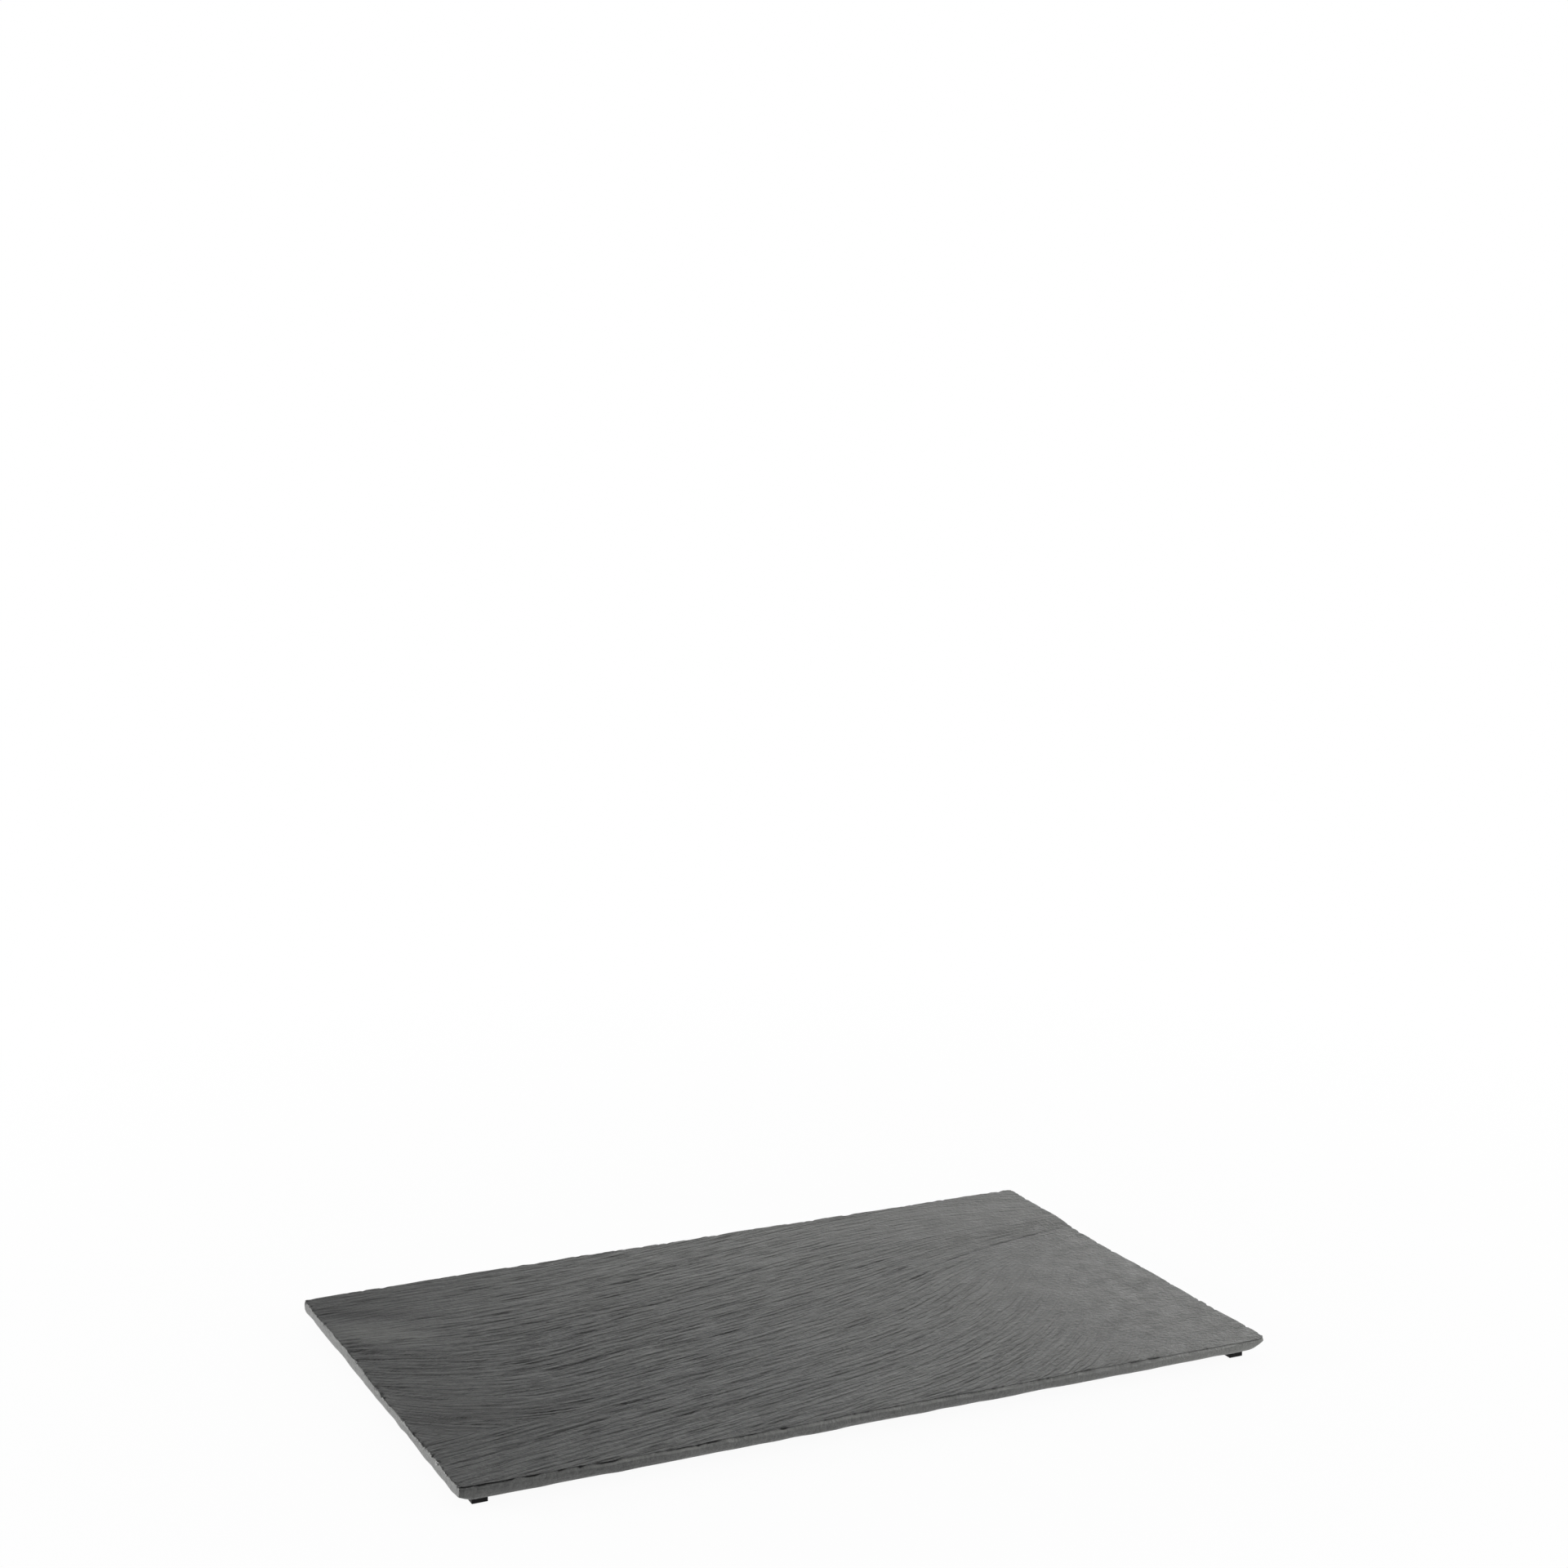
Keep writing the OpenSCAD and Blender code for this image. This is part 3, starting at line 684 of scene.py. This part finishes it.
def rivenSlate():
    material, tree = newMaterial("rivenSlate")
    place = addNode(tree, "TexCoord").outputs["Object"]
    along = addNode(tree, "UVMap", uv_map="grainMap").outputs["UV"]
    length, sway = slate["wobble"]
    waver = addNoise(tree, place, length, 1).outputs["Color"]
    along = addNode(
        tree, "VectorMath", {0: waver, 1: (0, sway, 0), 2: along}, operation="MULTIPLY_ADD").outputs[0]

    def drawnOut(name, detail):  # noise drawn out along the grain
        reach, breadth = slate[name]
        stretched = addNode(tree, "Mapping", {
            "Vector": along, "Scale": (1 / reach, 1 / breadth, 1), "Rotation": (0, 0, slate["latticeTurn"])})
        return addNode(
            tree, "TexNoise",
            {"Vector": stretched.outputs[0], "Scale": 1, "Detail": detail, "Roughness": 0.6},
            noise_dimensions="2D").outputs["Fac"]

    def painted(name):  # what the slab's points carry
        return addNode(tree, "Attribute", attribute_name=name).outputs["Fac"]

    def remap(value, fromLow, fromHigh, toLow=0, toHigh=1):
        return addNode(tree, "MapRange", {
            "Value": value, "From Min": fromLow, "From Max": fromHigh, "To Min": toLow, "To Max": toHigh
        }).outputs[0]

    def reckon(operation, *values):
        return addNode(tree, "Math", dict(enumerate(values)), operation=operation).outputs[0]

    def weigh(value, weight, onto):
        return reckon("MULTIPLY_ADD", value, weight, onto)

    def mixed(weights):  # the sum of several patterns
        total = 0
        for name, weight in weights.items():
            total = weigh(patterns[name], weight, total)
        return total

    def blend(share, a, b):
        return addNode(tree, "Mix", {0: share, 6: a, 7: b}, data_type="RGBA").outputs[2]

    patterns = {
        "layers": drawnOut("layers", 2),
        "fibres": drawnOut("fibres", 1),
        "patch": addNoise(tree, place, slate["patch"], 2).outputs["Fac"],
        "grit": addNoise(tree, place, slate["grit"], 3, 0.65).outputs["Fac"],
    }
    edge = painted("edge")
    vivid = remap(painted("lively"), *slate["livelyLevels"])

    # steps from one cleavage layer up to the next: a sawtooth across the grain, wandering and broken off
    pitch, sway = slate["steps"]
    across = addNode(tree, "SeparateXYZ", {"Vector": along}).outputs["Y"]
    level = weigh(drawnOut("bends", 1.5), sway, reckon("DIVIDE", across, pitch))
    tread = reckon("FRACT", level)
    riser = remap(tread, slate["tread"], 1)
    whole = remap(drawnOut("gates", 1), *slate["stepGate"])
    patterns["steps"] = reckon("MULTIPLY", reckon("SUBTRACT", riser, tread), whole)
    # painted shade along each riser, which faces away from the lamps behind
    riserShade = reckon("MULTIPLY", riser, reckon("SUBTRACT", 1, riser))
    riserShade = reckon("MULTIPLY", riserShade, whole)
    riserShade = reckon("MULTIPLY", riserShade, vivid)

    # splits: thin lines along the grain, sunk by the bump and painted dark as the shade in them, where a
    # noise crosses its middle, broken off by a second noise
    nearby = reckon("ABSOLUTE", reckon("SUBTRACT", drawnOut("splits", 1), 0.5))
    gate = remap(drawnOut("gates", 0), *slate["splitGate"])
    split = reckon("MULTIPLY", remap(nearby, 0, slate["splitWidth"], 1, 0), gate)
    split = reckon("MULTIPLY", split, vivid)
    patterns["splits"] = split

    mottle = addNoise(tree, place, slate["mottle"], 2).outputs["Fac"]
    mottle = remap(mottle, *slate["mottleLevels"])
    lines = addNode(tree, "Mix", {0: vivid, 2: mottle, 3: mixed(slate["lineMix"])}).outputs[0]
    patterns["lines"] = lines
    tone = remap(mixed(slate["toneMix"]), *slate["toneLevels"])

    # colours, from the stone itself, paler towards the right partly as painted sheen, to its ground edge,
    # patches and spans painted as light and shade, tone and wear, and the painted shade of the crevices over
    # all
    farMost, farPatches = slate["farShare"]
    toneAndShadingLevel, toneAndShadingShare = painted("toneAndShading"), slate["toneAndShadingShare"]
    # towards the right the stone is painted paler, partly as sheen
    sideways = addNode(tree, "SeparateXYZ", {"Vector": place}).outputs["X"]
    sideways = weigh(patterns["patch"], farPatches, sideways)
    ground = reckon("MULTIPLY", edge, remap(tone, 0, 1, slate["groundShare"], 1))
    body = blend(tone, toLinear(slate["dark"]), toLinear(slate["pale"]))
    body = blend(remap(sideways, *slate["farReach"], 0, farMost), body, toLinear(slate["far"]))
    body = blend(ground, body, toLinear(slate["edge"]))
    # patches painted paler as sheen and tone, and darker as painted shade
    body = blend(remap(toneAndShadingLevel, 0, 1, 0, toneAndShadingShare), body, toLinear(slate["toneAndShading"]))
    body = blend(remap(toneAndShadingLevel, -1, 0, toneAndShadingShare, 0), body, toLinear(slate["crevice"]))
    body = blend(remap(painted("wearAndLight"), 0, slate["fullWearAndLight"]), body, toLinear(slate["wearAndHighlight"]))
    # painted shade over the colour, in the hollows, the splits and along the steps
    paintedShade = weigh(split, slate["splitShade"], remap(painted("paintedHollowShade"), *slate["paintedShadeLevels"]))
    paintedShade = weigh(riserShade, slate["stepShade"], paintedShade)
    colour = blend(paintedShade, body, toLinear(slate["crevice"]))

    roughness = remap(lines, *slate["lineLevels"], *slate["faceRoughness"])
    roughness = addNode(tree, "Mix", {0: edge, 2: roughness, 3: slate["edgeRoughness"]}).outputs[0]
    relief = reckon("MULTIPLY", mixed(slate["heightMix"]), vivid)
    rubble = reckon("MULTIPLY", patterns["grit"], remap(vivid, 0, 1, *slate["gritHeight"]))
    raised = addNode(tree, "Bump", {
        "Height": weigh(rubble, 1, relief), "Strength": 1, "Distance": slate["relief"] * mm})
    shader = addNode(tree, "BsdfPrincipled", {
        "Base Color": colour, "Roughness": roughness, "IOR": slate["ior"],
        "Normal": raised.outputs["Normal"]})
    addNode(tree, "OutputMaterial", {"Surface": shader.outputs[0]})
    return material


def addRamp(tree, value, colours, levels=(0, 1)):
    ramp = addNode(tree, "ValToRGB", {"Fac": value})
    for element, colour, level in zip(ramp.color_ramp.elements, colours, levels):
        element.position = level
        element.color = toLinear(colour)
    return ramp.outputs["Color"]


# Black nitrile-like rubber, moulded in a matt die: dull and deep, with a bloom on the rubbed parts.
# The die's texture is finer than the render can show, so it is drawn as coarse as it needs to show.
feet = {
    "colours": ("#0b0b0c", "#18181a"),
    "levels": (0.35, 0.7),  # of the bloom, from the one colour to the other
    "bloom": 2.5,  # mm
    "die": 0.25,  # mm
    "dieRelief": (0.4, 0.05),  # strength, and height in mm
    "roughness": 0.62,
    "ior": 1.52,
    "specular": 0.2,
}


def mouldedRubber():
    material, tree = newMaterial("mouldedRubber")
    place = addNode(tree, "TexCoord").outputs["Object"]
    bloom = addNoise(tree, place, feet["bloom"], 3).outputs["Fac"]
    die = addNoise(tree, place, feet["die"], 1).outputs["Fac"]
    strength, tall = feet["dieRelief"]
    raised = addNode(
        tree, "Bump", {"Height": die, "Strength": strength, "Distance": tall * mm}).outputs["Normal"]
    shader = addNode(tree, "BsdfPrincipled", {
        "Base Color": addRamp(tree, bloom, feet["colours"], feet["levels"]), "Roughness": feet["roughness"],
        "IOR": feet["ior"], "Specular IOR Level": feet["specular"], "Normal": raised})
    addNode(tree, "OutputMaterial", {"Surface": shader.outputs[0]})
    return material


# Closed-cell foam, die cut: the cut cells show as fine dull pits
pads = {
    "colours": ("#29292b", "#464648"),
    "cell": 0.3,  # mm
    "cellRelief": (0.5, 0.08),  # strength, and height in mm
    "roughness": 0.8,
    "ior": 1.49,
}


def cellFoam():
    material, tree = newMaterial("cellFoam")
    place = addNode(tree, "TexCoord").outputs["Object"]
    cells = addNode(
        tree, "TexVoronoi", {"Vector": place, "Scale": 1 / (pads["cell"] * mm)}).outputs["Distance"]
    strength, tall = pads["cellRelief"]
    raised = addNode(
        tree, "Bump", {"Height": cells, "Strength": strength, "Distance": tall * mm}).outputs["Normal"]
    shader = addNode(tree, "BsdfPrincipled", {
        "Base Color": addRamp(tree, cells, pads["colours"]), "Roughness": pads["roughness"],
        "IOR": pads["ior"], "Normal": raised})
    addNode(tree, "OutputMaterial", {"Surface": shader.outputs[0]})
    return material


slateSlab.data.materials.append(rivenSlate())
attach(slateSlab, "root")
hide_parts("slate_board")

rubber = mouldedRubber()
foam = cellFoam()
for name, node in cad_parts.items():
    if name.startswith("foot"):
        node.material_slots[0].material = rubber
    elif name.startswith("adhesive"):
        node.material_slots[0].material = foam
print("materials laid")


# A white sweep in a studio that is dark behind the board and white overhead. A low softbox at the left models
# the grain, three behind lay their sheen over the stone, and one lights the front.
studio = {
    "floorSize": 24,  # metres
    # how white the floor looks near the board, and the distances in metres between which it turns all white
    "floorGlow": (0.95, 0.3, 1),
    "paints": ("#eaeaea", "#eeeeee"),  # mixed by a faint speck
    "speck": 60,  # to the metre
    "room": (0, 0.7),  # strength of the room at the horizon and overhead
    "roomHeights": (0.15, 0.9),  # of a direction, between which it goes from the one to the other
    "lamps": (
        # place in metres, width and height, watts
        ((-2.4, 1.2, 0.6), 1.2, 0.8, 54),
        ((1.2, 2.9, 0.5), 1.2, 0.7, 4),
        ((2.3, 2.1, 0.55), 1.6, 0.9, 18),
        ((1.4, 2.6, 1.5), 1.3, 0.8, 6.5),
        ((1.5, -1.1, 0.8), 0.8, 0.6, 14),
    ),
}


def anyRay(tree, *kinds):  # 1 for a ray of any of these kinds
    path = addNode(tree, "LightPath")
    seen = path.outputs[kinds[0]]
    for kind in kinds[1:]:
        seen = addNode(tree, "Math", {0: seen, 1: path.outputs[kind]}, operation="MAXIMUM").outputs[0]
    return seen


def paintedSweep():  # matt white paint that looks all but white to the camera and is clear from below
    material, tree = newMaterial("paintedSweep")
    nearness, start, end = studio["floorGlow"]
    place = addNode(tree, "TexCoord").outputs["Object"]
    away = addNode(tree, "VectorMath", {0: place}, operation="LENGTH").outputs["Value"]
    white = addNode(tree, "MapRange", {
        "Value": away, "From Min": start, "From Max": end, "To Min": nearness, "To Max": 1}).outputs[0]
    speck = addNode(
        tree, "TexNoise", {"Vector": place, "Scale": studio["speck"], "Detail": 1}).outputs["Fac"]
    darker, paler = studio["paints"]
    paint = addNode(
        tree, "Mix", {0: speck, 6: toLinear(darker), 7: toLinear(paler)}, data_type="RGBA").outputs[2]
    matt = addNode(tree, "BsdfDiffuse", {"Color": paint}).outputs[0]
    glow = addNode(tree, "Emission", {"Color": (1, 1, 1, 1), "Strength": 1}).outputs[0]
    mostly = addNode(tree, "MixShader", {0: white, 1: matt, 2: glow}).outputs[0]
    seen = anyRay(tree, "Is Camera Ray", "Is Glossy Ray", "Is Transmission Ray")
    top = addNode(tree, "MixShader", {0: seen, 1: matt, 2: mostly}).outputs[0]
    below = addNode(tree, "NewGeometry").outputs["Backfacing"]
    clear = addNode(tree, "BsdfTransparent").outputs[0]
    addNode(tree, "OutputMaterial", {
        "Surface": addNode(tree, "MixShader", {0: below, 1: top, 2: clear}).outputs[0]})
    return material


def whiteRoom():
    world = bpy.data.worlds.new("whiteRoom")
    world.use_nodes = True
    tree = world.node_tree
    tree.nodes.clear()
    heading = addNode(tree, "TexCoord").outputs["Generated"]
    climb = addNode(tree, "SeparateXYZ", {"Vector": heading}).outputs["Z"]
    start, end = studio["roomHeights"]
    horizon, overhead = studio["room"]
    strength = addNode(tree, "MapRange", {
        "Value": climb, "From Min": start, "From Max": end, "To Min": horizon, "To Max": overhead}).outputs[0]
    room = addNode(tree, "Background", {"Color": (1, 1, 1, 1), "Strength": strength}).outputs[0]
    white = addNode(tree, "Background", {"Color": (1, 1, 1, 1), "Strength": 1}).outputs[0]
    seen = anyRay(tree, "Is Camera Ray", "Is Transmission Ray")
    addNode(tree, "OutputWorld", {
        "Surface": addNode(tree, "MixShader", {0: seen, 1: room, 2: white}).outputs[0]})
    return world


def addStage():
    bpy.ops.object.select_all(action="DESELECT")
    bpy.ops.mesh.primitive_plane_add(size=studio["floorSize"], location=(0, 0, 0))
    floor = bpy.context.object
    floor.name = "floor"
    floor.data.materials.append(paintedSweep())
    scene.world = whiteRoom()
    for k, (place, width, tall, watts) in enumerate(studio["lamps"]):
        name = "softbox%d" % k
        data = bpy.data.lights.new(name, "AREA")
        data.shape = "RECTANGLE"
        data.size = width
        data.size_y = tall
        data.energy = watts
        lamp = bpy.data.objects.new(name, data)
        scene.collection.objects.link(lamp)
        lamp.location = place
        lamp.rotation_euler = (-Vector(place)).to_track_quat("-Z", "Y").to_euler()


addStage()
scene.view_settings.view_transform = "Standard"
print("studio lit")
